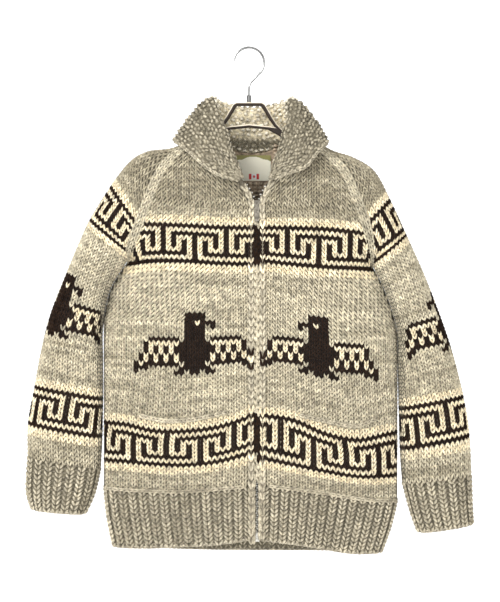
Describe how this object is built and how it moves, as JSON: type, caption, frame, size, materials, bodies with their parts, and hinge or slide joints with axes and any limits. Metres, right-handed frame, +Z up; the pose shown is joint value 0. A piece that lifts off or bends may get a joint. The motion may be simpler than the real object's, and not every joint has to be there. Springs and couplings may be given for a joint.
{
  "type": "cowichan cardigan on a hanger",
  "caption": "Thick hand-knitted zip cardigan with raglan sleeves, shawl collar, inset pockets, ribbed hem and cuffs, and traditional bands and birds, hung on a moulded hanger.",
  "frame": {"origin": "the underside of the top of the hanger's hook, where a rail bears, in the middle of the wire", "axes": "+Z up along the hanging cardigan, -Y out of its front, +X to the viewer's right from the front"},
  "size_m": [0.8308, 0.1673, 0.94],
  "materials": {
    "knit": "thick heathered wool, knitted",
    "edging": "light wool, chained",
    "label": "woven, satin",
    "hanger": "dark brown, moulded",
    "steel": "bright plated",
    "zip": "metal teeth on a dark tape"
  },
  "bodies": {
    "garment": {"back": "knit", "front_left": "knit", "front_right": "knit", "sleeve_left": "knit", "sleeve_right": "knit", "cuff_left": "knit", "cuff_right": "knit", "hem_back": "knit", "hem_left": "knit", "hem_right": "knit", "collar": "knit", "pocket_edge_left": "edging", "pocket_edge_right": "edging", "edging_left": "edging", "edging_right": "edging", "zip_left": "zip", "zip_right": "zip", "zip_slider": "steel", "zip_stop": "steel", "label": "label", "hanger": "hanger", "hanger_ferrule": "steel", "hanger_hook": "steel"},
    "pull_tab": {"zip_pull": "steel"}
  },
  "joints": [
    {"name": "pull_tab_hinge", "type": "hinge", "parent": "garment", "child": "pull_tab", "pos_m": [0.0145, -0.0623, -0.2902], "axis": [-1, 0, 0], "range_deg": [0, 165]}
  ]
}
